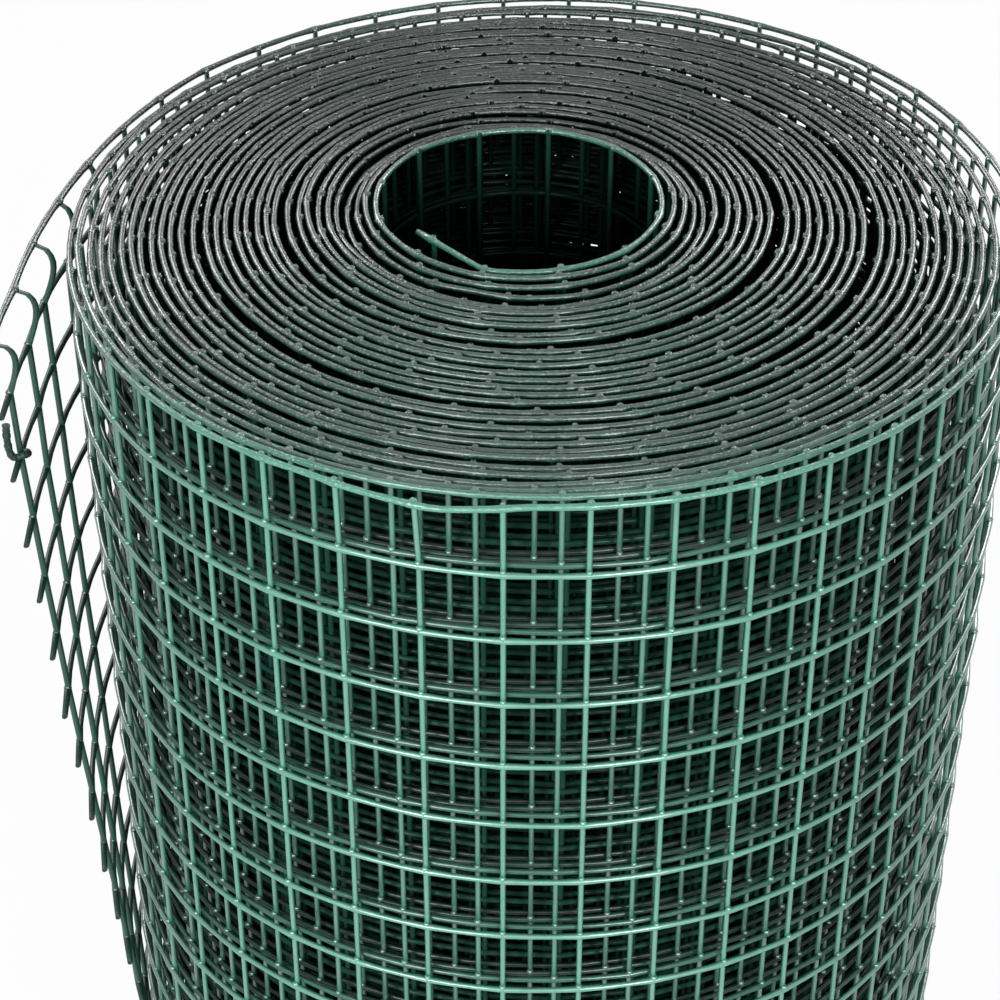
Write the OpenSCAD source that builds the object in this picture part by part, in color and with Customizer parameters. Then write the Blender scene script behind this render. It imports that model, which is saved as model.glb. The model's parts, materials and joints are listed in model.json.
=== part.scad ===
// Roll of coated welded-wire fencing, standing on its end.
// The strip is wound off centre, tight at the back and looser at the front, and its outer end
// has sprung open at the top, with a leftover of the tie that held it hooked on its edge wire.

/* [Mesh] */
// Pitch of the square mesh, between wire centres
mesh_pitch = 12.7; // [10:0.1:25.4]
// Diameter of the coated wire
wire_d = 0.85; // [0.7:0.05:1.2]
// How far two wires sink into each other at a weld
weld_sink = 0.25; // [0.2:0.05:0.4]
// Number of meshes across the width of the strip
mesh_rows = 39; // [24:1:80]
// How far the cut ends stand past the edge wires
cut_stub = 0.5; // [0.2:0.1:2]

/* [Roll] */
// Clear diameter of the bore
bore_d = 45; // [30:1:60]
// Number of turns that show on the ends
turns = 31; // [16:1:34]
// Mean radial step from one turn to the next
turn_step = 1.92; // [1.6:0.02:2.6]
// Depth of the gaps between the turns at the ends
gap_depth = 3; // [1:0.5:8]
// Offset of the outermost turn from the bore, to the right
offset_x = 3.5; // [-8:0.1:8]
// Offset of the outermost turn from the bore, to the back
offset_y = -6.2; // [-10:0.1:10]

/* [Loose end] */
// Direction, seen from the roll's axis, in which the loose end leaves the roll
leave_angle = 158; // [0:1:359]
// Number of meshes along the loose end
end_meshes = 5; // [3:1:7]
// How much larger than the roll's the radius is, in which the top wire of the loose end springs open
end_extra_r = 117; // [30:1:200]
// Number of meshes from the top down to where the loose end lies against the roll
end_rows = 14; // [8:1:22]
// How far the line wires stand past the edge wire
edge_stub = 7; // [1:0.5:10]

/* [Tie] */
// Diameter of the tie's wire
tie_d = 1; // [0.7:0.05:1.4]
// Mesh from the top at which the tie hangs
tie_row = 2; // [1:1:4]
// How far the tie reaches out from the edge wire
tie_reach = 3.4; // [2:0.2:6]
// Height of the tie's upright leg
tie_leg = 7; // [3:0.5:10]
// Clearance between the tie and the wire that it hooks round
tie_clearance = 0.15; // [0.05:0.05:0.3]

/* [Hidden] */
$fn = 96;
bar_sides = 6;
roll_h = mesh_rows * mesh_pitch + wire_d + 2 * cut_stub;
roll_r = bore_d / 2 + (turns - 1) * turn_step + wire_d;
top_wire_z = roll_h - cut_stub - wire_d / 2;
roll_axis = [offset_x, offset_y];
overcut = 1;
// The loose end is drawn only where it stands clear of the roll
shown_rows = end_rows - 3;
// The line wires start under the roll's face, so that they come out of it
start_sink = wire_d / 2 + 0.2;
edge_arc = end_meshes * mesh_pitch;
tie_bend_r = tie_d;
wire_green = [0.13, 0.36, 0.28];
tie_green = [0.08, 0.16, 0.13];

// Centre of a turn: from the bore's axis for the first to the roll's axis for the last
function turn_centre(turn) = roll_axis * turn / (turns - 1);

// Inner radius of a turn
function turn_radius(turn) = bore_d / 2 + turn * turn_step;

// Direction in plan at an angle
function heading(angle) = [cos(angle), sin(angle)];

// Extra radius that opens a line wire of the loose end into a flatter arc; it fades downwards
function extra_radius(row) = end_extra_r * (1 - row / end_rows);

// Radius and centre of the arc that a line wire of the loose end follows
function arc_radius(row) = roll_r - start_sink + extra_radius(row);
function arc_centre(row) = roll_axis - extra_radius(row) * heading(leave_angle);

// Direction outwards at a length along a line wire of the loose end
function end_angle(row, along) = leave_angle + along / arc_radius(row) * 180 / PI;

// Point on the loose end: a row, a length along the line wire, and a distance inside it
function end_point(row, along, inside) =
    let (plan = arc_centre(row) + (arc_radius(row) - inside) * heading(end_angle(row, along)))
    [plan.x, plan.y, top_wire_z - row * mesh_pitch];

// Where a cross wire of the loose end meets a row, and where its straight run lies at a height
function cross_end(mesh, row) = end_point(row, mesh * mesh_pitch, wire_d - weld_sink);
function cross_at(mesh, height) =
    let (top = cross_end(mesh, 0), foot = cross_end(mesh, shown_rows))
    foot + (top - foot) * (height - foot.z) / (top.z - foot.z);

// Straight round bar between two points
module bar(from, to, d) {
    span = to - from;
    length = norm(span);
    translate(from)
        rotate([0, acos(span.z / length), atan2(span.y, span.x)])
            cylinder(d = d, h = length, $fn = bar_sides);
}

// Gap between one turn and the next, as deep as it shows at an end
module turn_gap(turn) {
    next = turn + 1;
    difference() {
        translate(turn_centre(next)) cylinder(r = turn_radius(next), h = gap_depth + overcut);
        translate([turn_centre(turn).x, turn_centre(turn).y, -overcut])
            cylinder(r = turn_radius(turn) + wire_d, h = gap_depth + 3 * overcut);
    }
}

// All the gaps of one end
module end_gaps() {
    for (turn = [0 : turns - 2]) turn_gap(turn);
}

// The wound part of the strip, with its bore
module wound_strip() {
    difference() {
        translate(roll_axis) cylinder(r = roll_r, h = roll_h);
        translate([0, 0, -overcut]) cylinder(d = bore_d, h = roll_h + 2 * overcut);
        translate([0, 0, roll_h - gap_depth]) end_gaps();
        mirror([0, 0, 1]) translate([0, 0, -gap_depth]) end_gaps();
    }
}

// Line wire of the loose end, an arc that ends in a cut stub past the edge
module line_wire(row) {
    radius = arc_radius(row);
    stub_arc = (edge_arc + edge_stub) / radius * 180 / PI;
    centre = arc_centre(row);
    translate([centre.x, centre.y, top_wire_z - row * mesh_pitch])
        rotate(leave_angle)
            rotate_extrude(angle = stub_arc)
                translate([radius, 0]) circle(d = wire_d, $fn = bar_sides);
}

// Cross wire of the loose end, inside the line wires
module cross_wire(mesh) {
    top = cross_end(mesh, 0);
    foot = cross_end(mesh, shown_rows);
    past = (top - foot) / norm(top - foot) * (wire_d / 2 + cut_stub);
    bar(foot - past, top + past, wire_d);
}

module mesh_roll() {
    color(wire_green) union() {
        wound_strip();
        for (row = [0 : shown_rows]) line_wire(row);
        for (mesh = [2 : end_meshes]) cross_wire(mesh);
    }
}

// Bend of the tie's wire, in plan, from one angle to another
module tie_bend(radius, start, angle) {
    rotate(start) rotate_extrude(angle = angle) translate([radius, 0]) circle(d = tie_d, $fn = 12);
}

// Straight stretch of the tie's wire, upwards
module tie_straight(length) {
    cylinder(d = tie_d, h = length, $fn = 12);
}

// Leftover tie: a hook round the inside of the edge wire, a reach outwards and an upright leg
module tie_wire() {
    hook_r = wire_d / 2 + tie_clearance + tie_d / 2;
    seat_z = top_wire_z - tie_row * mesh_pitch + hook_r;
    color(tie_green)
        translate(cross_at(end_meshes, seat_z)) rotate(end_angle(tie_row, edge_arc)) {
            tie_bend(hook_r, 90, 180);
            translate([0, hook_r, 0]) rotate([0, 90, 0]) tie_straight(tie_reach - tie_bend_r);
            translate([tie_reach - tie_bend_r, hook_r, tie_bend_r])
                rotate([90, 0, 0]) tie_bend(tie_bend_r, 270, 90);
            translate([tie_reach, hook_r, tie_bend_r]) tie_straight(tie_leg - tie_bend_r);
        }
}

mesh_roll();
tie_wire();
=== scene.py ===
"""Looks of a roll of coated welded-wire fencing, standing on its end.

One strip of square mesh is worked out as a grid of welds: its first parameter runs along the strip,
from the cut end in the bore to the sprung outer end, and its second runs across the strip, from the
top edge to the bottom edge. Every wire, bead and stub is placed on that grid.
"""
import json
import math

import bpy
import numpy as np
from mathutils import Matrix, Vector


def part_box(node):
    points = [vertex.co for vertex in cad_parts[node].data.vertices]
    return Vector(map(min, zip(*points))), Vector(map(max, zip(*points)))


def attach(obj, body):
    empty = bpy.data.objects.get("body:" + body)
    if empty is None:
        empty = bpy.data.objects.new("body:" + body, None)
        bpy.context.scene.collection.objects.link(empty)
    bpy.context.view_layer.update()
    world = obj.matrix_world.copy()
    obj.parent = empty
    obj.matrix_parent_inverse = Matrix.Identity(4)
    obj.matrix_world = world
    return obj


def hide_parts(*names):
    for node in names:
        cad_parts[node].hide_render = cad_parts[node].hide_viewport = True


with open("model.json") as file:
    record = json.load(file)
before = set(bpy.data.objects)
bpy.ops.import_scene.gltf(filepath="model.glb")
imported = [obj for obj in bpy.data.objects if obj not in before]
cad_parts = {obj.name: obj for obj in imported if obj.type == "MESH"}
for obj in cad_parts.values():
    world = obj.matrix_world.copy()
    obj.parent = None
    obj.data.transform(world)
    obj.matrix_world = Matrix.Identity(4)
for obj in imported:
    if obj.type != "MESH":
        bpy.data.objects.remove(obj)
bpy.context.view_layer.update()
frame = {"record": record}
rng = np.random.default_rng(31)

# Mesh, in metres: its pitch across the strip and along it, its wires and their cut ends
MM = 0.001
PITCH = 12.7 * MM
PITCH_ALONG = 12.827 * MM
ROWS = 39
WIRE_R = 0.48 * MM
EDGE_WIRE_R = 0.53 * MM
CUT_STUB = 0.5 * MM
EDGE_STUB = 0.55 * PITCH
INNER_STUB = 0.27 * PITCH
# How far the cross wires lie inside the line wires, in the roll and in the loose end
CROSS_INSIDE = 0.6 * MM
END_INSIDE = 0.2 * MM
# The wires are thicker at the welds and uneven between them, and the stubs differ in length
WELD_SWELL = 0.2
WIRE_UNEVEN = 0.06
STUB_SHORTEST = 0.88
STUB_LONGEST = 1.1
# Share of its arc's rise by which a line wire bows out between two welds
CHORD_RISE = 0.85
# Top end of a cross wire, over the axis of the edge wire: its shoulder, and its tip that is slimmer
SHOULDER_RISE = 0.75 * EDGE_WIRE_R
TIP_RISE = 1.15 * EDGE_WIRE_R
TIP_SHARE = 0.5

# Beads of coating at the welds: half sizes outwards, along the strip and upwards, and how far they
# sit inside and above the axis of the line wire
BEAD_SIDES = 5
BEAD_LEVELS = np.array([-0.8, 0, 0.8])
BEAD_UNEVEN = 0.15
WELD_BEAD = np.array([0.7, 0.66, 0.6]) * MM
WELD_BEAD_INSIDE = 0.1 * MM
WELD_BEAD_ABOVE = 0.47 * MM
EDGE_BEAD = np.array([0.6, 0.8, 0.62]) * MM
EDGE_BEAD_INSIDE = 0.45 * MM
TOP_BEAD_ABOVE = 0.15 * MM
FOOT_BEAD_ABOVE = -0.1 * MM

# The frame gives the bore and the level of the top
bore = next(m for m in frame["record"]["mounts"] if m["name"] == "bore")
BORE_R = bore["dims"]["r_mm"] * MM
ROLL_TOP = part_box("mesh_roll")[1][2]
TOP_WIRE_Z = ROLL_TOP - CUT_STUB - WIRE_R

# Winding: angles about the bore, anticlockwise seen from above, the front of the roll at 270 degrees
START_ANGLE = math.radians(252)
LAST_TURN = 31
LEAVE_TURN = 31.743
TURN_SAMPLES = 720
RING_CLEAR = 1.025 * MM
INNER_R = BORE_R + RING_CLEAR
INNER_KINK = math.radians(30)
# Step from turn to turn: its mean, what the front and the right add, uneven waves in cycles a turn
STEP_MEAN = 1.722 * MM
STEP_FRONT = 0.25 * MM
STEP_RIGHT = 0.087 * MM
STEP_WAVES = (0.31, 0.83, 1.37, 2.21, 3.3)
STEP_UNEVEN = 0.22 * MM
STEP_LEAST = 1.3 * MM
# Places where the winding stands open: turn, width in turns, extra step
SLACK = (
    (11.15, 0.34, 1.0 * MM),
    (19.1, 0.42, 1.1 * MM),
    (26.52, 0.16, 0.7 * MM),
    (28.45, 0.17, 0.6 * MM),
    (29.5, 0.2, 1.2 * MM),
    (30.42, 0.14, 0.9 * MM),
    (31.52, 0.2, 2.7 * MM),
)

# Levels of the turns: a lift with long and short waves, in cycles a turn, and turns near the bore
# that have sunk at the top
LIFT_MEAN = 0.5 * MM
LIFT_LEAST = 0.25 * MM
LONG_WAVES = (0.17, 0.41, 1.03)
LONG_LIFT = 0.3 * MM
SHORT_WAVES = (3.1, 7.3)
SHORT_LIFT = 0.1 * MM
SUNK_TURN = 3.6
SUNK_WIDTH = 1.3
SUNK_DEPTH = 1.5 * MM
# Small shifts of a weld upwards and outwards, and of a whole cross wire outwards
WELD_SHIFT_UP = 0.07 * MM
WELD_SHIFT_OUT = 0.05 * MM
CROSS_SHIFT_OUT = 0.06 * MM

# Painted shade: the coat has its full colour on the outermost turn, and is painted darker from turn to turn
# inwards
LIGHT_TURNS = 2.2
DEEP_LIGHT = 0.04
# It is painted darker in the loose end as painted shade, though its cross wires keep a least share, and at a
# place on the turn under that as a painted shadow of the loose end
SHADED_END_TURN = 31.58
SHADED_END_WIDTH = 0.12
END_PAINTED_SHADE = 0.85
END_CROSS_LIGHT = 0.22
UNDER_END_TURN = 30.77
UNDER_END_WIDTH = 0.09
UNDER_END_PAINTED_SHADOW = 0.9
# Painted shade: it is darker at the two sides of the roll, which start further round on the left
SIDE_PAINTED_SHADE = 0.4
SIDE_START = 0.35
SIDE_FADE = 0.5
LEFT_LATER = 0.25
# Next to the top, the cross wires are painted darker at the back as painted shade, and lighter round the bore
# as painted light
TOP_DEPTH = 1.2 * PITCH
BACK_PAINTED_SHADE = 0.8
BORE_LIGHT = 0.3
BORE_TURNS = 0.8
# The edge wires keep a least share of the colour, and have more of it towards the front and on the ring, as
# painted light
EDGE_LIGHT = 0.2
EDGE_SIDE_SHARE = 0.45
EDGE_FRONT_GAIN = 0.75
EDGE_BACK_SHARE = 0.2
RING_LIGHT = 0.6

# Loose end: the arc that its top wire opens into, and the row at which it lies on the roll again
END_REACH = 65.2 * MM
END_EXTRA_R = 70 * MM
END_HELD_ROW = 14
END_LEAN = 1.45
END_SWELL = 0.12
# Its top wire flares and sags, and its cross wires bow inwards close under the top wire
TOP_FLARE = 1.6 * MM
TOP_SAG = 2.6 * MM
TOP_BOW = 2.7 * MM
BOW_GROWTH = 1.8
BOW_SKEW = 0.6
# The edge wire is bent out and pulled ahead
EDGE_OUT = 1.4 * MM
EDGE_AHEAD = 1.2 * MM
# Corner in the top wire of the outermost turn, and the lengths of wire before and after it that it pulls out
CORNER_TURN = 31.0245
CORNER_OUT = 2.1 * MM
CORNER_BEFORE = 21 * MM
CORNER_AFTER = 13 * MM

# Leftover tie, hooked round the edge wire: out from it, ahead along the strip, and up, in millimetres
TIE_ROW = 2
TIE_R = 0.66 * MM
TIE_UNEVEN = 0.14
TIE_STEPS = 6
TIE_SIDES = 10
TIE_ROUTE = (
    (1.9, 0.7, 7.4), (2.05, 0.8, 5.2), (2.0, 0.95, 2.8), (1.7, 1.1, 1.45), (1.0, 1.12, 1.0),
    (0, 1.1, 1.1), (-0.82, 0.75, 0.95), (-1.12, 0, 0.6), (-0.85, -0.8, 0.25),
)
# Direction that no stretch of the tie runs in, from which its round section is turned
TIE_SKEW = np.array([1, -1, 1])


def smooth_noise(x, waves, amplitude):
    """Sum of sines of random phase: waves lists the cycles per unit of x, each with an equal share."""
    phases = rng.uniform(0, 2 * np.pi, len(waves))
    total = sum(np.sin(2 * np.pi * wave * x + phase) for wave, phase in zip(waves, phases))
    return amplitude * total / math.sqrt(len(waves))


def bump(x, middle, width):
    """Bell curve of height one about the middle."""
    return np.exp(-((x - middle) / width) ** 2)


def unit(vectors):
    """Vectors of length one: each is divided by its own length."""
    return vectors / np.linalg.norm(vectors, axis=-1, keepdims=True)


def winding():
    """Plan of the winding, as x and y against the length along it, from the ring of the bore outwards.

    Each turn lies one step outside the turn under it: radius(turn) = radius(turn - 1) + step. The step is
    widest at the front, where the roll is loose, and swells where the winding stands open.
    """
    turn = np.arange(LAST_TURN + 2)[:, None] + np.arange(TURN_SAMPLES)[None, :] / TURN_SAMPLES
    angle = START_ANGLE + 2 * np.pi * turn
    step = STEP_MEAN - STEP_FRONT * np.sin(angle) + STEP_RIGHT * np.cos(angle)
    step = step + smooth_noise(turn, STEP_WAVES, STEP_UNEVEN)
    step = step + sum(extra * bump(turn, middle, width) for middle, width, extra in SLACK)
    step = np.maximum(step, STEP_LEAST)
    climb = np.vstack([step[1, 0] * (turn[:1] % 1), step[1:]])
    radius = INNER_R + np.cumsum(climb, axis=0)
    turn, angle, radius = turn.ravel(), angle.ravel(), radius.ravel()
    x, y = radius * np.cos(angle), radius * np.sin(angle)
    length = np.concatenate([[0], np.cumsum(np.hypot(np.diff(x), np.diff(y)))])
    return turn, length, x, y


turn_axis, length_axis, plan_x, plan_y = winding()
slope_x = np.gradient(plan_x, length_axis)
slope_y = np.gradient(plan_y, length_axis)
bend_axis = np.gradient(np.unwrap(np.arctan2(slope_y, slope_x)), length_axis)
LEAVE_LENGTH = float(np.interp(LEAVE_TURN, turn_axis, length_axis))
EDGE_LENGTH = LEAVE_LENGTH + END_REACH
CELLS = int(EDGE_LENGTH / PITCH_ALONG) + 1
KINK_LENGTH = EDGE_LENGTH - (CELLS - 1) * PITCH_ALONG


def along(length, values):
    """Value at a length along the winding."""
    return np.interp(length, length_axis, values)


def corner_out(length):
    """How far the corner pulls the top wire out: straight up to the corner, and straight down after it."""
    past = length - float(np.interp(CORNER_TURN, turn_axis, length_axis))
    return CORNER_OUT * np.clip(1 - np.where(past < 0, -past / CORNER_BEFORE, past / CORNER_AFTER), 0, 1)


def loose_share(row):
    """Share of the way from the roll to the opened arc: one at the top, none where the end is held."""
    return 1 - np.clip(row / END_HELD_ROW, 0, 1) ** END_LEAN


def opened_arc(length):
    """Flatter arc on which the top wire of the loose end leaves the winding, tangent to it."""
    x0, y0 = along(LEAVE_LENGTH, plan_x), along(LEAVE_LENGTH, plan_y)
    tx, ty = along(LEAVE_LENGTH, slope_x), along(LEAVE_LENGTH, slope_y)
    radius = 1 / along(LEAVE_LENGTH - PITCH, bend_axis) + END_EXTRA_R
    turned = (length - LEAVE_LENGTH) / radius
    ahead, aside = radius * np.sin(turned), radius * (1 - np.cos(turned))
    return x0 + tx * ahead - ty * aside, y0 + ty * ahead + tx * aside


def strip_plan(length, row):
    """Plan position and outward direction on the strip, at a length along it and a row across it.

    Before the ring of the bore the strip is a straight chord, turned inwards by a kink. Past the place
    where it leaves the roll it goes a share of the way from the winding to the opened arc.
    """
    on_ring = np.maximum(length, KINK_LENGTH)
    x, y = along(on_ring, plan_x), along(on_ring, plan_y)
    tx, ty = along(on_ring, slope_x), along(on_ring, slope_y)
    chord = length - on_ring
    kx, ky = along(KINK_LENGTH, slope_x), along(KINK_LENGTH, slope_y)
    cx = math.cos(INNER_KINK) * kx + math.sin(INNER_KINK) * ky
    cy = math.cos(INNER_KINK) * ky - math.sin(INNER_KINK) * kx
    x, y = x + cx * chord, y + cy * chord
    arc_x, arc_y = opened_arc(length)
    share = np.where(length > LEAVE_LENGTH, loose_share(row), 0)
    x, y = x + share * (arc_x - x), y + share * (arc_y - y)
    nx, ny = np.where(chord < 0, cy, ty), np.where(chord < 0, -cx, -tx)
    return x, y, nx, ny


def weld_grid():
    """Welds of the strip: points and outward directions, with the small shifts that handling leaves.

    A weld lies at its plan position, one pitch under the weld above it, raised by the lift of its turn. The
    flare and the sag of the loose top wire grow with the square of the way to the edge.
    """
    length = EDGE_LENGTH - PITCH_ALONG * np.arange(CELLS, -1, -1)[:, None]
    row = np.arange(ROWS + 1)[None, :]
    x, y, nx, ny = strip_plan(*np.broadcast_arrays(length, row.astype(float)))
    turn = along(length, turn_axis)
    lift = LIFT_MEAN + smooth_noise(turn, LONG_WAVES, LONG_LIFT) + smooth_noise(turn, SHORT_WAVES, SHORT_LIFT)
    sunk = SUNK_DEPTH * bump(turn, SUNK_TURN, SUNK_WIDTH) * (1 - row / ROWS)
    z = TOP_WIRE_Z - row * PITCH + np.maximum(lift, LIFT_LEAST) - sunk
    z = z + rng.normal(0, WELD_SHIFT_UP, x.shape)
    out = rng.normal(0, WELD_SHIFT_OUT, x.shape) + rng.normal(0, CROSS_SHIFT_OUT, (len(length), 1))
    loose = np.clip((length - LEAVE_LENGTH) / END_REACH, 0, 1)
    z = z - TOP_SAG * loose ** 2 * (row == 0)
    out = out + TOP_FLARE * loose ** 2 * (row == 0)
    out = out + corner_out(length) * (row == 0)
    edge = (length > EDGE_LENGTH - PITCH_ALONG / 2) * loose_share(row)
    out, ahead = out + EDGE_OUT * edge, EDGE_AHEAD * edge
    points = np.stack([x + nx * out - ny * ahead, y + ny * out + nx * ahead, z], -1)
    outward = np.stack([nx, ny, np.zeros_like(nx)], -1)
    return length[:, 0], turn[:, 0], points, outward


def painted_light_share(turn):
    """Painted light share at a turn: one on the outermost, falling off over the turns under it as painted
    shade.

    The fall is exponential, down to the share of the deep turns. The loose end is painted darker as painted
    shade, and a place on the turn under it as a painted shadow.
    """
    last = turn + np.floor(LEAVE_TURN - turn)
    share = DEEP_LIGHT + (1 - DEEP_LIGHT) * np.exp(-np.clip(last - turn, 0, None) / LIGHT_TURNS)
    share = share * (1 - UNDER_END_PAINTED_SHADOW * bump(turn, UNDER_END_TURN, UNDER_END_WIDTH))
    return share * (1 - END_PAINTED_SHADE * np.clip((turn - SHADED_END_TURN) / SHADED_END_WIDTH, 0, 1))


def side_light(outward_x):
    """Painted shade at the roll's sides: the share of the colour that they keep, one at the front and back,
    fading with outward x.
    """
    past = np.maximum(outward_x, -outward_x - LEFT_LATER) - SIDE_START
    return 1 - SIDE_PAINTED_SHADE * np.clip(past / SIDE_FADE, 0, 1)


def edge_wire_light(turn, light, outward_y):
    """Painted light share of the edge wires: painted shade from front to back with outward y, and painted
    light on the ring.
    """
    facing = np.clip(EDGE_SIDE_SHARE - EDGE_FRONT_GAIN * outward_y, EDGE_BACK_SHARE, 1)
    return np.maximum(np.maximum(light, EDGE_LIGHT) * facing, RING_LIGHT * bump(turn, 0, 1))


cell_length, cell_turn, welds, outward = weld_grid()
# Painted light share of each cell: painted shade inwards, in the loose end, under it and at the sides
cell_light = painted_light_share(cell_turn) * side_light(outward[:, 0, 0])
edge_light = edge_wire_light(cell_turn, cell_light, outward[:, 0, 1])
cell_loose = np.clip((cell_length - LEAVE_LENGTH) / PITCH, 0, 1)
cell_swell = 1 + END_SWELL * cell_loose
cell_inside = CROSS_INSIDE + (END_INSIDE - CROSS_INSIDE) * cell_loose
LAST_CELL = len(cell_length) - 1
UP = np.array([0, 0, 1.0])


def tube_faces(wires, rings, sides):
    """Quads round and along each tube, and the flat caps at its two ends."""
    base = np.arange(wires)[:, None, None] * rings * sides
    ring = np.arange(rings - 1)[None, :, None] * sides
    side = np.arange(sides)[None, None, :]
    ahead = (side + 1) % sides
    quads = np.stack([ring + side, ring + ahead, ring + sides + ahead, ring + sides + side], -1)
    caps = np.stack([np.arange(sides)[::-1], (rings - 1) * sides + np.arange(sides)])
    return (quads + base[..., None]).reshape(-1, 4), (caps[None] + base).reshape(-1, sides)


def tube(path, first, second, radius, sides, light):
    """Round tubes: a circle of a few sides, in the two given cross directions, carried along each path.

    Each point of each path has its radius, and its painted light share: the share of the full colour left
    after painted light and shade.
    """
    turned = 2 * np.pi * np.arange(sides) / sides
    circle = np.cos(turned)[:, None] * first[:, :, None] + np.sin(turned)[:, None] * second[:, :, None]
    points = path[:, :, None] + radius[:, :, None, None] * circle
    quads, caps = tube_faces(path.shape[0], path.shape[1], sides)
    light = np.repeat(np.broadcast_to(light, path.shape[:2]).ravel(), sides)
    return points.reshape(-1, 3), light, [quads, caps]


def line_paths(first_cell, last_cell, rows, parts):
    """Line wires between two cells: chords from weld to weld, each bowed out by part of its arc's rise.

    The rise of an arc is its bend times the square of its length, over eight. It is spread over the chord as
    four times the share times one minus the share. The corner adds to the top wire what it pulls out between
    the welds, over the straight line between what it pulls out at them.
    """
    length = cell_length[first_cell:last_cell]
    start, stop = welds[first_cell:last_cell, rows], welds[first_cell + 1:last_cell + 1, rows]
    face, next_face = outward[first_cell:last_cell, rows], outward[first_cell + 1:last_cell + 1, rows]
    rise = CHORD_RISE * PITCH_ALONG ** 2 / 8 * along(length + PITCH_ALONG / 2, bend_axis)
    rise = np.where(length < KINK_LENGTH - PITCH_ALONG / 2, 0, rise)[:, None, None, None]
    share = (np.arange(parts) / parts)[None, None, :, None]
    side = face[:, :, None] * (1 - share) + next_face[:, :, None] * share
    path = start[:, :, None] * (1 - share) + stop[:, :, None] * share + side * rise * 4 * share * (1 - share)
    length = length[:, None, None, None]
    pulled = corner_out(length + PITCH_ALONG * share)
    pulled = pulled - corner_out(length) * (1 - share) - corner_out(length + PITCH_ALONG) * share
    path = path + side * pulled * (rows == 0)[None, :, None, None]
    path = path.transpose(1, 0, 2, 3).reshape(len(rows), -1, 3)
    side = side.transpose(1, 0, 2, 3).reshape(len(rows), -1, 3)
    path = np.concatenate([path, welds[last_cell, rows][:, None]], 1)
    side = np.concatenate([side, outward[last_cell, rows][:, None]], 1)
    return path, side


def knotted(count, points, parts, radius):
    """Radius along some wires: thicker at every weld, and a little uneven from place to place."""
    swell = 1 + WELD_SWELL * (np.arange(points) % parts == 0)
    return radius * swell * rng.uniform(1 - WIRE_UNEVEN, 1 + WIRE_UNEVEN, (count, points))


def line_wires(first_cell, last_cell, rows, parts, sides, radius, painted_shading):
    """Line wires of some rows, as tubes with some parts a mesh, and with cut stubs where the strip ends."""
    rows = np.asarray(rows)
    path, side = line_paths(first_cell, last_cell, rows, parts)
    cells = np.append(np.repeat(np.arange(first_cell, last_cell), parts), last_cell)
    thick = knotted(len(rows), path.shape[1], parts, radius) * cell_swell[cells]
    # Painted light share of each cell: painted light and shade in the coat's colour
    light = painted_shading[cells]
    if first_cell == 0:
        stub = path[:, :1] + INNER_STUB * unit(path[:, :1] - path[:, 1:2])
        path, side = np.concatenate([stub, path], 1), np.concatenate([side[:, :1], side], 1)
        thick = np.concatenate([np.full((len(rows), 1), radius), thick], 1)
        light = np.concatenate([light[:1], light])
    if last_cell == LAST_CELL:
        reach = EDGE_STUB * rng.uniform(STUB_SHORTEST, STUB_LONGEST, (len(rows), 1, 1))
        stub = path[:, -1:] + reach * unit(path[:, -1:] - path[:, -2:-1])
        path, side = np.concatenate([path, stub], 1), np.concatenate([side, side[:, -1:]], 1)
        thick = np.concatenate([thick, np.full((len(rows), 1), radius * cell_swell[-1])], 1)
        light = np.concatenate([light, light[-1:]])
    return tube(path, np.broadcast_to(UP, path.shape), side, thick, sides, light)


def cross_wires(first_cell, last_cell, rows, parts, sides):
    """Cross wires, inside the line wires, through the welds of the given rows, with cut ends past the edges.

    In the loose end the top mesh of a cross wire bows towards the roll: bow times the sine of half a turn
    times the share of the mesh raised to a skew, so that it bends most close under the top wire. The top
    ends are rounded over. Next to the top the coat is painted lighter round the bore as painted light, and
    darker at the back as painted shade.
    """
    rows = np.asarray(rows)
    cells = np.arange(first_cell, last_cell + 1)
    side = outward[cells][:, rows]
    through = welds[cells][:, rows] - cell_inside[cells][:, None, None] * side
    share = (np.arange(parts) / parts)[None, None, :, None]
    path = through[:, :-1, None] * (1 - share) + through[:, 1:, None] * share
    face = np.broadcast_to(side[:, :-1, None], path.shape)
    loose = np.clip((cell_length[cells] - LEAVE_LENGTH) / END_REACH, 0, 1)
    top_mesh = (rows[:-1] == 0)[None, :, None, None]
    bow = TOP_BOW * np.clip(BOW_GROWTH * loose, 0, 1)[:, None, None, None]
    path = path - face * top_mesh * bow * np.sin(np.pi * share ** BOW_SKEW)
    path, face = path.reshape(len(cells), -1, 3), face.reshape(len(cells), -1, 3)
    rise = unit(path[:, :1] - path[:, 1:2])
    tip, shoulder = path[:, :1] + TIP_RISE * rise, path[:, :1] + SHOULDER_RISE * rise
    foot = through[:, -1:] - UP * (WIRE_R + CUT_STUB)
    path = np.concatenate([tip, shoulder, path, through[:, -1:], foot], 1)
    face = np.concatenate([face[:, :1], face[:, :1], face, side[:, -1:], side[:, -1:]], 1)
    thick = WIRE_R * np.broadcast_to(cell_swell[cells][:, None], path.shape[:2]).copy()
    thick[:, 0] *= TIP_SHARE
    top = np.clip(1 - (TOP_WIRE_Z - path[:, :, 2]) / TOP_DEPTH, 0, 1)
    # Painted light share: least share in the loose end, painted shade at the back and painted light round the
    # bore next to the top
    light = np.where(cell_loose > 0, np.maximum(cell_light, END_CROSS_LIGHT), cell_light)[cells][:, None]
    light = light * (1 - BACK_PAINTED_SHADE * top * np.clip(face[:, :, 1], 0, 1))
    light = light + BORE_LIGHT * top * np.exp(-np.clip(cell_turn[cells], 0, None) / BORE_TURNS)[:, None]
    return tube(path, face, np.cross(face, UP), thick, sides, light)


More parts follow.
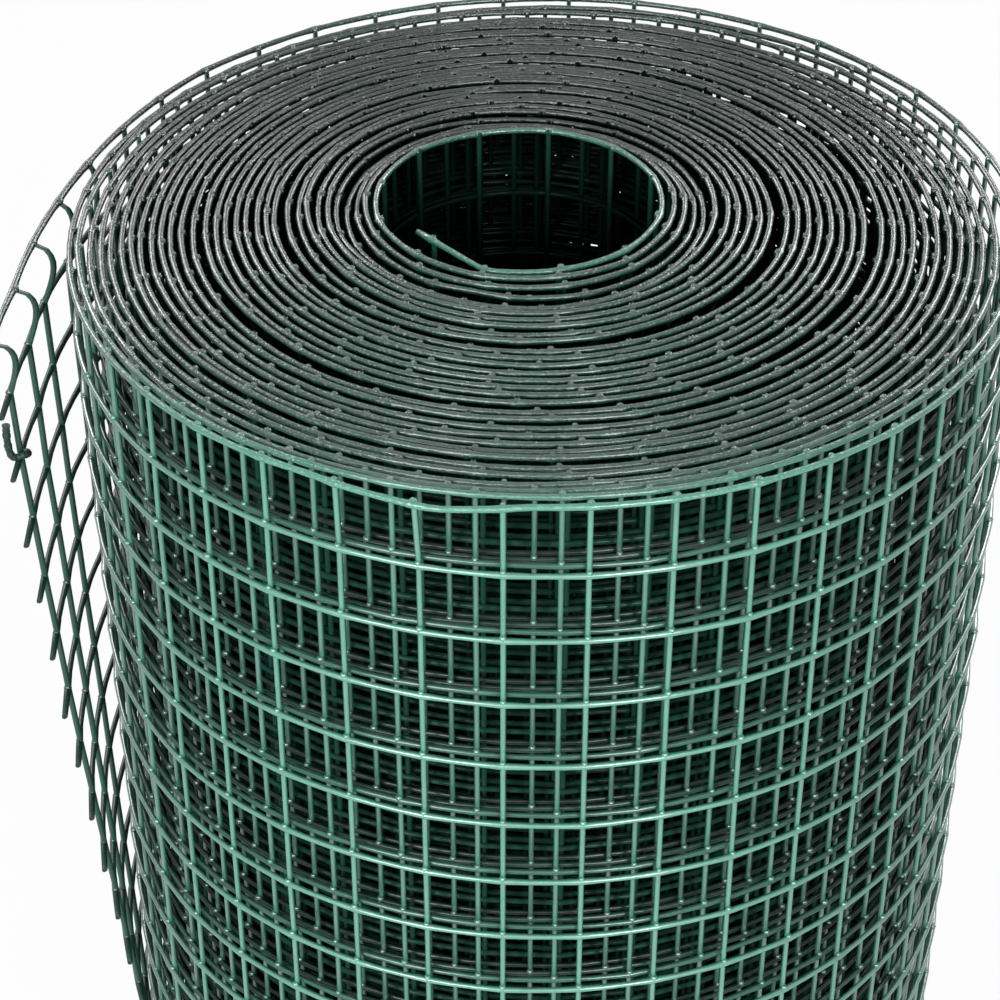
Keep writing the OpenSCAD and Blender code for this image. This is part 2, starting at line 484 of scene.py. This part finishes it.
def beads(cells, rows, inside, above, half_sizes, painted_shading):
    """Beads of coating at the welds: small spheroids, as rings at a few levels.

    They sit inside and above the line wire's axis, with half sizes outwards, along the strip and upwards. A
    ring's share of the half sizes is the root of one minus its level squared.
    """
    face = outward[cells][:, rows].reshape(-1, 3)
    middle = welds[cells][:, rows].reshape(-1, 3) - inside * face + above * UP
    aside = np.cross(UP, face)
    size = rng.uniform(1 - BEAD_UNEVEN, 1 + BEAD_UNEVEN, (len(middle), 1, 1))
    turned = 2 * np.pi * np.arange(BEAD_SIDES) / BEAD_SIDES
    waist = np.sqrt(1 - BEAD_LEVELS ** 2)[:, None]
    ring_out = (waist * np.cos(turned)).reshape(-1, 1) * half_sizes[0]
    ring_aside = (waist * np.sin(turned)).reshape(-1, 1) * half_sizes[1]
    ring_up = np.repeat(BEAD_LEVELS, BEAD_SIDES)[:, None] * half_sizes[2]
    offset = ring_out * face[:, None] + ring_aside * aside[:, None] + ring_up * UP
    points = middle[:, None] + size * offset
    quads, caps = tube_faces(len(middle), len(BEAD_LEVELS), BEAD_SIDES)
    # Painted light share of each bead's cell: painted light and shade in the coat's colour
    return points.reshape(-1, 3), np.repeat(painted_shading[cells], len(rows) * len(ring_up)), [quads, caps]


def smooth_path(knots, steps):
    """Curve through some points: each stretch is a cubic that has the slope of its neighbours' chords."""
    padded = np.concatenate([2 * knots[:1] - knots[1:2], knots, 2 * knots[-1:] - knots[-2:-1]])
    before, start, stop, after = (padded[i:len(padded) - 3 + i, None] for i in range(4))
    share = (np.arange(steps) / steps)[None, :, None]
    bend = 2 * before - 5 * start + 4 * stop - after
    twist = 3 * start - before - 3 * stop + after
    curve = start + 0.5 * ((stop - before) * share + bend * share ** 2 + twist * share ** 3)
    return np.concatenate([curve.reshape(-1, 3), knots[-1:]])


def tie():
    """Leftover tie: a round wire on a smooth path, given out from, ahead of and up along the edge wire.

    The first direction of its section is square to the path and to the skew direction, and the second one
    is square to the path and to the first.
    """
    out = outward[LAST_CELL, TIE_ROW]
    axes = np.stack([out, np.cross(UP, out), UP])
    knots = welds[LAST_CELL, TIE_ROW] - END_INSIDE * out + np.array(TIE_ROUTE) * MM @ axes
    path = smooth_path(knots, TIE_STEPS)
    slope = unit(np.gradient(path, axis=0))
    first = unit(np.cross(slope, TIE_SKEW @ axes))
    thick = TIE_R * rng.uniform(1 - TIE_UNEVEN, 1 + TIE_UNEVEN, (1, len(path)))
    return tube(path[None], first[None], np.cross(slope, first)[None], thick, TIE_SIDES, np.ones((1, 1)))


def joined(*shapes):
    """Several shapes as one: their points in a row, and their faces counted on."""
    points, light, faces, count = [], [], [], 0
    for some_points, some_light, some_faces in shapes:
        points.append(some_points)
        light.append(some_light)
        faces += [block + count for block in some_faces]
        count += len(some_points)
    return np.concatenate(points), np.concatenate(light), faces


def piece(name, shape, material):
    """Mesh object of a shape, in the frame of the part, riding on its one body."""
    points, light, faces = shape
    mesh = bpy.data.meshes.new(name)
    sizes = np.concatenate([np.full(len(block), block.shape[1]) for block in faces])
    corners = np.concatenate([block.ravel() for block in faces])
    mesh.vertices.add(len(points))
    mesh.vertices.foreach_set("co", points.astype(np.float32).ravel())
    mesh.loops.add(len(corners))
    mesh.loops.foreach_set("vertex_index", corners.astype(np.int32))
    mesh.polygons.add(len(sizes))
    mesh.polygons.foreach_set("loop_start", np.concatenate([[0], np.cumsum(sizes)[:-1]]).astype(np.int32))
    mesh.polygons.foreach_set("use_smooth", sizes == 4)
    # Painted light share of each point, which the coat's material reads as painted light and shade
    share = mesh.attributes.new("painted_light_share", "FLOAT", "POINT")
    share.data.foreach_set("value", light.astype(np.float32))
    mesh.update(calc_edges=True)
    mesh.validate()
    mesh.materials.append(material)
    obj = bpy.data.objects.new(name, mesh)
    bpy.context.collection.objects.link(obj)
    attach(obj, "root")
    return obj


# Materials
def coat_group():
    """Coating of a drawn wire: blotches of colour, soft lumps, painted shade, and a skin that reflects less
    in painted shade.

    The painted light share is read from the piece's own attribute and darkens the colour as painted shade.
    Below a small share the skin thins out and the coat gets rougher, a painted shade on the reflections.
    """
    group = bpy.data.node_groups.new("wire_coat", "ShaderNodeTree")
    for name, kind in (("Colour", "Color"), ("Bloom", "Color"), ("Roughness", "Float"), ("Skin", "Float")):
        group.interface.new_socket(name, in_out="INPUT", socket_type="NodeSocket" + kind)
    for name, kind in (("Colour", "Color"), ("Roughness", "Float"), ("Skin", "Float"), ("Height", "Float")):
        group.interface.new_socket(name, in_out="OUTPUT", socket_type="NodeSocket" + kind)
    nodes, links = group.nodes, group.links
    given, put = nodes.new("NodeGroupInput"), nodes.new("NodeGroupOutput")
    place = nodes.new("ShaderNodeTexCoord")
    blotch = nodes.new("ShaderNodeTexNoise")
    blotch.inputs["Scale"].default_value = 260
    blotch.inputs["Detail"].default_value = 4
    lumps = nodes.new("ShaderNodeTexNoise")
    lumps.inputs["Scale"].default_value = 1500
    lumps.inputs["Detail"].default_value = 3
    for texture in (blotch, lumps):
        links.new(place.outputs["Object"], texture.inputs["Vector"])
    links.new(lumps.outputs["Fac"], put.inputs["Height"])

    # Colour: blotches of the bloom, darkened by the painted light share as painted shade
    share = nodes.new("ShaderNodeMapRange")
    share.inputs["From Min"].default_value = 0.42
    share.inputs["From Max"].default_value = 0.72
    share.inputs["To Max"].default_value = 0.55
    links.new(blotch.outputs["Fac"], share.inputs["Value"])
    mix = nodes.new("ShaderNodeMix")
    mix.data_type = "RGBA"
    links.new(share.outputs["Result"], mix.inputs["Factor"])
    links.new(given.outputs["Colour"], mix.inputs["A"])
    links.new(given.outputs["Bloom"], mix.inputs["B"])
    light = nodes.new("ShaderNodeAttribute")
    light.attribute_name = "painted_light_share"
    painted_shade_mix = nodes.new("ShaderNodeMix")
    painted_shade_mix.data_type = "RGBA"
    painted_shade_mix.inputs["A"].default_value = (0, 0, 0, 1)
    links.new(light.outputs["Fac"], painted_shade_mix.inputs["Factor"])
    links.new(mix.outputs["Result"], painted_shade_mix.inputs["B"])
    links.new(painted_shade_mix.outputs["Result"], put.inputs["Colour"])

    # Skin: thinner where the painted light share is low, a painted shade on the reflections
    gloss = nodes.new("ShaderNodeMapRange")
    gloss.inputs["From Max"].default_value = 0.3
    gloss.inputs["To Min"].default_value = 0.2
    links.new(light.outputs["Fac"], gloss.inputs["Value"])
    skin = nodes.new("ShaderNodeMath")
    skin.operation = "MULTIPLY"
    links.new(gloss.outputs["Result"], skin.inputs[0])
    links.new(given.outputs["Skin"], skin.inputs[1])
    links.new(skin.outputs["Value"], put.inputs["Skin"])

    # Roughness: more of it in the blotches, and where the painted light share is low, as painted shade
    rough = nodes.new("ShaderNodeMath")
    rough.operation = "MULTIPLY_ADD"
    rough.inputs[1].default_value = 0.24
    links.new(blotch.outputs["Fac"], rough.inputs[0])
    links.new(given.outputs["Roughness"], rough.inputs[2])
    blunt = nodes.new("ShaderNodeMapRange")
    blunt.inputs["From Max"].default_value = 0.3
    blunt.inputs["To Min"].default_value = 0.1
    blunt.inputs["To Max"].default_value = 0
    links.new(light.outputs["Fac"], blunt.inputs["Value"])
    total = nodes.new("ShaderNodeMath")
    links.new(rough.outputs["Value"], total.inputs[0])
    links.new(blunt.outputs["Result"], total.inputs[1])
    links.new(total.outputs["Value"], put.inputs["Roughness"])
    return group


wire_coat = coat_group()


def coat_material(name, colour, bloom, rough, sheen, skin, skin_rough, relief):
    """Plastic coat on wire: the shared coat group with a soft sheen and relief, under a thin glossy skin."""
    material = bpy.data.materials.new(name)
    material.use_nodes = True
    nodes, links = material.node_tree.nodes, material.node_tree.links
    shader = nodes["Principled BSDF"]
    shader.inputs["IOR"].default_value = 1.52
    shader.inputs["Specular IOR Level"].default_value = sheen
    shader.inputs["Coat Roughness"].default_value = skin_rough
    coat = nodes.new("ShaderNodeGroup")
    coat.node_tree = wire_coat
    coat.inputs["Colour"].default_value = (*colour, 1)
    coat.inputs["Bloom"].default_value = (*bloom, 1)
    coat.inputs["Roughness"].default_value = rough
    coat.inputs["Skin"].default_value = skin
    links.new(coat.outputs["Colour"], shader.inputs["Base Color"])
    links.new(coat.outputs["Roughness"], shader.inputs["Roughness"])
    links.new(coat.outputs["Skin"], shader.inputs["Coat Weight"])
    lump = nodes.new("ShaderNodeBump")
    lump.inputs["Distance"].default_value = relief
    links.new(coat.outputs["Height"], lump.inputs["Height"])
    links.new(lump.outputs["Normal"], shader.inputs["Normal"])
    return material


GREEN = (0.053, 0.238, 0.167)
PALE_GREEN = (0.084, 0.308, 0.229)
BLACK_GREEN = (0.015, 0.035, 0.028)
DARK_GREEN = (0.035, 0.075, 0.06)
coated_wire = coat_material(
    "coated_wire", GREEN, PALE_GREEN, rough=0.2, sheen=1, skin=0.9, skin_rough=0.12, relief=0.05 * MM)
edge_wire = coat_material(
    "edge_wire", GREEN, PALE_GREEN, rough=0.1, sheen=0.65, skin=0.7, skin_rough=0.12, relief=0.28 * MM)
# Painted shade on the reflections: inner_wire, end_wire and deep_wire are copies of the coat with less sheen
# and skin, for the wires under the outer turn, in the loose end and deep in the roll
inner_wire = coat_material(
    "inner_wire", GREEN, PALE_GREEN, rough=0.2, sheen=0.25, skin=0.8, skin_rough=0.15, relief=0.05 * MM)
end_wire = coat_material(
    "end_wire", GREEN, PALE_GREEN, rough=0.3, sheen=0.35, skin=0.2, skin_rough=0.2, relief=0.1 * MM)
deep_wire = coat_material(
    "deep_wire", GREEN, PALE_GREEN, rough=0.4, sheen=0, skin=0.2, skin_rough=0.12, relief=0.03 * MM)
glossy_bead = coat_material(
    "glossy_bead", GREEN, PALE_GREEN, rough=0.2, sheen=1, skin=1, skin_rough=0.2, relief=0)
tie_coating = coat_material(
    "tie_coating", BLACK_GREEN, DARK_GREEN,
    rough=0.25, sheen=0.12, skin=0.15, skin_rough=0.15, relief=0.3 * MM)

# Pieces: the wires are finest where they show, at the two ends and in the outer turns
BORE_TURN = 2.2
OUTER_TURN = 27.4
SKIN_TURN = 30.2
bore_cell = int(np.searchsorted(cell_turn, BORE_TURN))
outer_cell = int(np.searchsorted(cell_turn, OUTER_TURN))
skin_cell = int(np.searchsorted(cell_turn, SKIN_TURN))
end_cell = LAST_CELL - int(END_REACH / PITCH_ALONG)
all_cells = np.arange(LAST_CELL + 1)
all_rows = np.arange(ROWS + 1)
inner_rows = all_rows[1:-1]
near_rows = [1, 2, ROWS - 2, ROWS - 1]
deep_rows = all_rows[3:-3]
end_rows = [0, *near_rows, ROWS]
# Painted shade: the line wires under the outermost turn are darker than their cross wires
under_light = cell_light ** 2

edge_line_wires = piece(
    "edge_line_wires",
    joined(
        line_wires(0, LAST_CELL, [0], parts=6, sides=8, radius=EDGE_WIRE_R, painted_shading=edge_light),
        line_wires(0, LAST_CELL, [ROWS], parts=3, sides=6, radius=EDGE_WIRE_R, painted_shading=edge_light)),
    edge_wire)
piece(
    "bore_line_wires",
    line_wires(0, bore_cell, inner_rows, parts=3, sides=6, radius=WIRE_R, painted_shading=cell_light),
    deep_wire)
piece(
    "near_line_wires",
    line_wires(bore_cell, outer_cell, near_rows, parts=2, sides=6, radius=WIRE_R, painted_shading=cell_light),
    deep_wire)
piece(
    "deep_line_wires",
    line_wires(bore_cell, outer_cell, deep_rows, parts=1, sides=4, radius=WIRE_R, painted_shading=cell_light),
    deep_wire)
piece(
    "outer_line_wires",
    line_wires(outer_cell, skin_cell, inner_rows, parts=2, sides=5, radius=WIRE_R, painted_shading=under_light),
    inner_wire)
piece(
    "skin_line_wires",
    line_wires(skin_cell, end_cell, inner_rows, parts=3, sides=8, radius=WIRE_R, painted_shading=cell_light),
    coated_wire)
piece(
    "inner_cross_wires",
    cross_wires(0, outer_cell - 1, end_rows, parts=1, sides=6),
    deep_wire)
piece(
    "outer_cross_wires",
    cross_wires(outer_cell, end_cell - 1, all_rows, parts=1, sides=6),
    coated_wire)
piece(
    "loose_end_wires",
    joined(
        line_wires(end_cell, LAST_CELL, inner_rows, parts=3, sides=8, radius=WIRE_R, painted_shading=cell_light),
        cross_wires(end_cell, LAST_CELL, all_rows, parts=10, sides=8)),
    end_wire)
piece(
    "weld_beads",
    beads(all_cells[outer_cell:], inner_rows, WELD_BEAD_INSIDE, WELD_BEAD_ABOVE, WELD_BEAD, cell_light),
    glossy_bead)
piece(
    "edge_beads",
    joined(
        beads(all_cells, [0], EDGE_BEAD_INSIDE, TOP_BEAD_ABOVE, EDGE_BEAD, edge_light),
        beads(all_cells, [ROWS], EDGE_BEAD_INSIDE, FOOT_BEAD_ABOVE, EDGE_BEAD, edge_light)),
    edge_wire)
tie_wire_bent = piece("tie_wire_bent", tie(), tie_coating)
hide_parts("mesh_roll")
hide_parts("tie_wire")

# Stage
FLOOR_HALF = 6.0
FLOOR_COLOUR = (0.86, 0.86, 0.86)
FLOOR_WHITE = 0.93
WORLD_LIGHT = 0.045


def seen_directly(tree):
    """Value that is one for rays of the camera, of gloss and through clear material, and none for others."""
    nodes, links = tree.nodes, tree.links
    path = nodes.new("ShaderNodeLightPath")
    either = nodes.new("ShaderNodeMath")
    either.operation = "MAXIMUM"
    any_way = nodes.new("ShaderNodeMath")
    any_way.operation = "MAXIMUM"
    links.new(path.outputs["Is Camera Ray"], either.inputs[0])
    links.new(path.outputs["Is Glossy Ray"], either.inputs[1])
    links.new(either.outputs["Value"], any_way.inputs[0])
    links.new(path.outputs["Is Transmission Ray"], any_way.inputs[1])
    return any_way.outputs["Value"]


def pale_floor():
    """Pale matt surface that the camera and reflections see as near white, with the shadows kept."""
    material = bpy.data.materials.new("pale_floor")
    material.use_nodes = True
    nodes, links = material.node_tree.nodes, material.node_tree.links
    shader = nodes["Principled BSDF"]
    shader.inputs["Base Color"].default_value = (*FLOOR_COLOUR, 1)
    shader.inputs["Roughness"].default_value = 0.9
    glow = nodes.new("ShaderNodeEmission")
    white = nodes.new("ShaderNodeMath")
    white.operation = "MULTIPLY"
    white.inputs[1].default_value = FLOOR_WHITE
    links.new(seen_directly(material.node_tree), white.inputs[0])
    mix = nodes.new("ShaderNodeMixShader")
    links.new(white.outputs["Value"], mix.inputs["Fac"])
    links.new(shader.outputs["BSDF"], mix.inputs[1])
    links.new(glow.outputs["Emission"], mix.inputs[2])
    links.new(mix.outputs["Shader"], nodes["Material Output"].inputs["Surface"])
    return material


floor_corners = [(x * FLOOR_HALF, y * FLOOR_HALF, 0) for x, y in ((-1, -1), (1, -1), (1, 1), (-1, 1))]
floor_mesh = bpy.data.meshes.new("floor")
floor_mesh.from_pydata(floor_corners, [], [(0, 1, 2, 3)])
floor_mesh.materials.append(pale_floor())
floor = bpy.data.objects.new("floor", floor_mesh)
bpy.context.collection.objects.link(floor)

scene = bpy.context.scene
scene.view_settings.view_transform = "Standard"
world = bpy.data.worlds.new("studio")
scene.world = world
world.use_nodes = True
sky = world.node_tree.nodes["Background"]
sky.inputs["Color"].default_value = (1, 1, 1, 1)
level = world.node_tree.nodes.new("ShaderNodeMapRange")
level.inputs["To Min"].default_value = WORLD_LIGHT
level.inputs["To Max"].default_value = 1
world.node_tree.links.new(seen_directly(world.node_tree), level.inputs["Value"])
world.node_tree.links.new(level.outputs["Result"], sky.inputs["Strength"])


def softbox(name, distance, heading, width, height, power):
    """Area lamp that faces the top of the roll, from a distance times a heading away."""
    lamp = bpy.data.lights.new(name, "AREA")
    lamp.shape = "RECTANGLE"
    lamp.size = width
    lamp.size_y = height
    lamp.energy = power
    obj = bpy.data.objects.new(name, lamp)
    x, y, z = distance * np.array(heading)
    obj.location = (x, y, ROLL_TOP + z)
    obj.rotation_euler = (math.atan2(math.hypot(x, y), z), 0, math.atan2(x, -y))
    bpy.context.collection.objects.link(obj)


softbox("left_softbox", 1.3, (-0.47, -0.9, 0.36), width=0.58, height=0.64, power=17)
softbox("right_softbox", 1.3, (0.32, -0.96, 0.36), width=0.34, height=0.63, power=13)
softbox("back_left_softbox", 1.6, (-0.55, 0.8, 0.5), width=0.7, height=0.52, power=15)
softbox("back_right_softbox", 1.6, (0.55, 0.8, 0.5), width=0.7, height=0.52, power=15)

# Camera, fitted to the square mesh of the front and the ring of the bore
CAMERA_FROM_TOP = np.array([-8.85, -392.0, 232.5]) * MM
CAMERA_DOWN = 0.6467
CAMERA_YAW = 0.0131
FOCAL_PIXELS = 2650.8
IMAGE_WIDTH = 1000
camera_data = bpy.data.cameras.new("camera")
camera_data.sensor_width = 36
camera_data.lens = camera_data.sensor_width * FOCAL_PIXELS / IMAGE_WIDTH
camera = bpy.data.objects.new("camera", camera_data)
camera.location = CAMERA_FROM_TOP + np.array([0, 0, TOP_WIRE_Z])
camera.rotation_euler = (math.pi / 2 - CAMERA_DOWN, 0, -CAMERA_YAW)
bpy.context.collection.objects.link(camera)
scene.camera = camera
